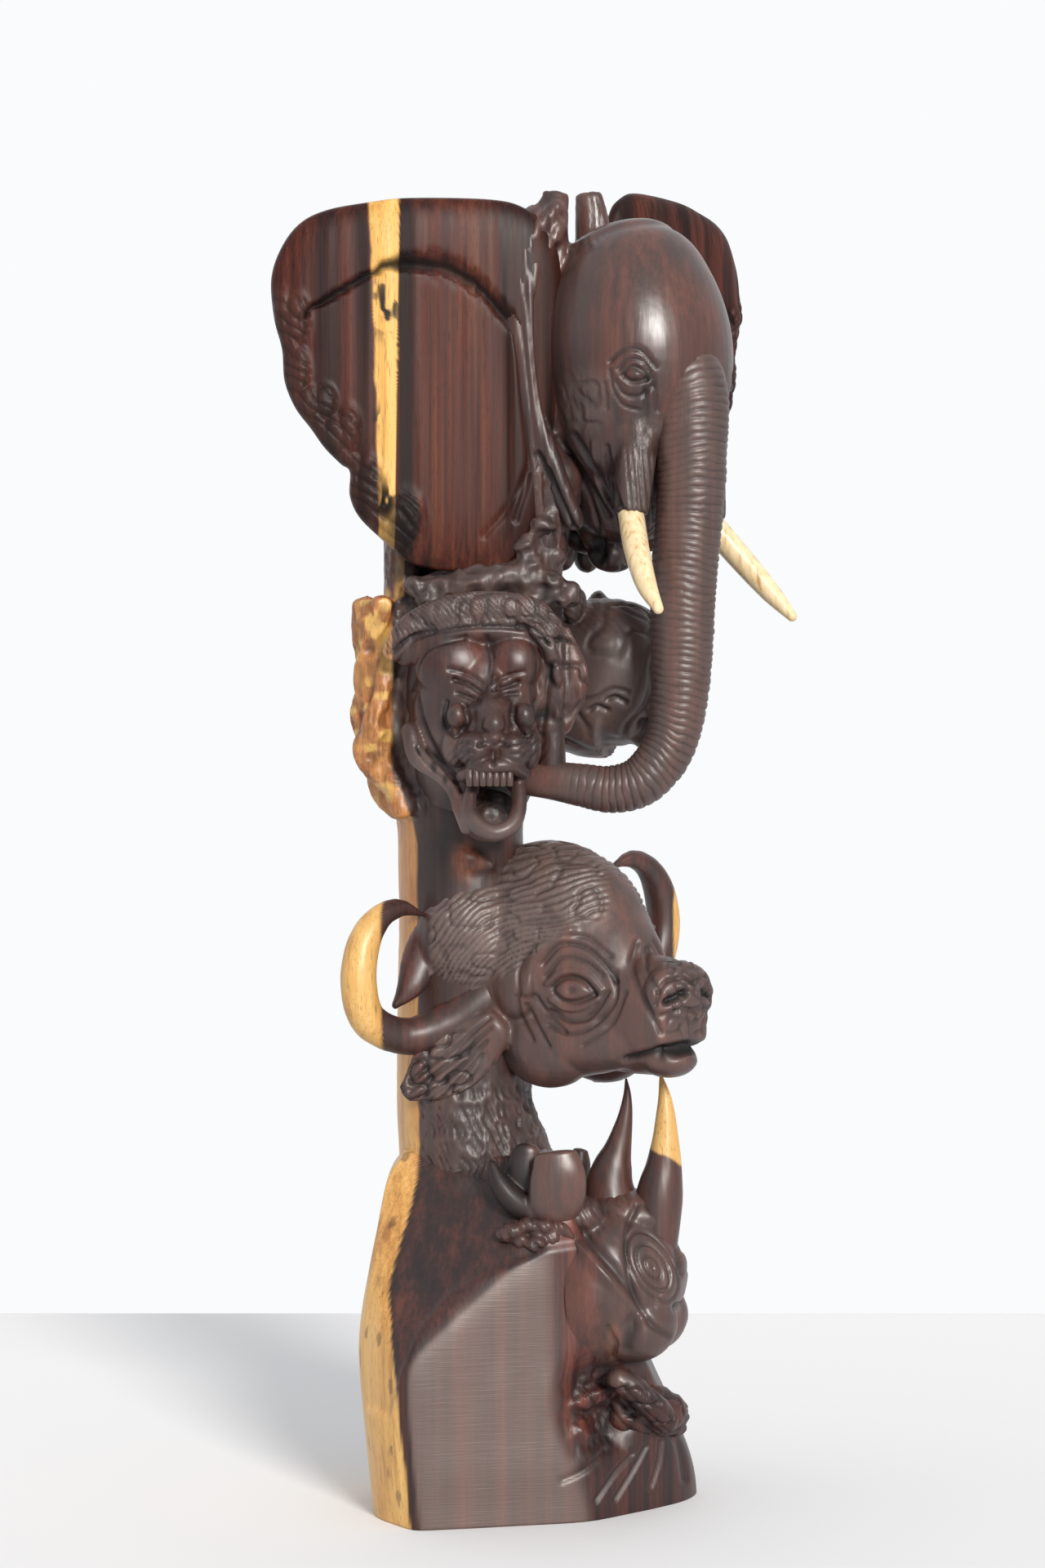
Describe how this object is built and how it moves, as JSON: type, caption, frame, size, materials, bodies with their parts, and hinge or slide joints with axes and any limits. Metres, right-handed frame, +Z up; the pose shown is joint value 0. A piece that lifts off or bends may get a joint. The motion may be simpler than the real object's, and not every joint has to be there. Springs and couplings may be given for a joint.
{
  "type": "carved wooden animal totem",
  "caption": "Tall one-log wood carving of stacked animal heads, an elephant with spread ears on top, standing on a flat foot.",
  "frame": {"origin": "middle of the foot, in the plane it stands on", "axes": "+Z up the log, -Y out of the display side, +X towards the side that the heads look to"},
  "size_m": [0.2024, 0.1587, 0.5042],
  "materials": {
    "heartwood": "waxed satin, nearly black in the grooves",
    "sapwood": "waxed satin",
    "tusk": "polished"
  },
  "bodies": {
    "root": {"buffalo_ear_left": "heartwood", "buffalo_ear_right": "heartwood", "buffalo_head": "heartwood", "buffalo_horn_left": "heartwood", "buffalo_horn_right": "heartwood", "elephant_ear_left": "heartwood", "elephant_ear_right": "heartwood", "elephant_head": "heartwood", "elephant_trunk": "heartwood", "leopard_head": "heartwood", "lion_head": "heartwood", "lion_jaw": "heartwood", "rhino_block": "heartwood", "rhino_ear_left": "heartwood", "rhino_ear_right": "heartwood", "rhino_front_horn": "heartwood", "rhino_head": "heartwood", "rhino_rear_horn": "heartwood", "sapwood_block_edge": "sapwood", "sapwood_spine_edge": "sapwood", "spine": "heartwood", "tusk_left": "tusk", "tusk_right": "tusk"}
  },
  "joints": []
}
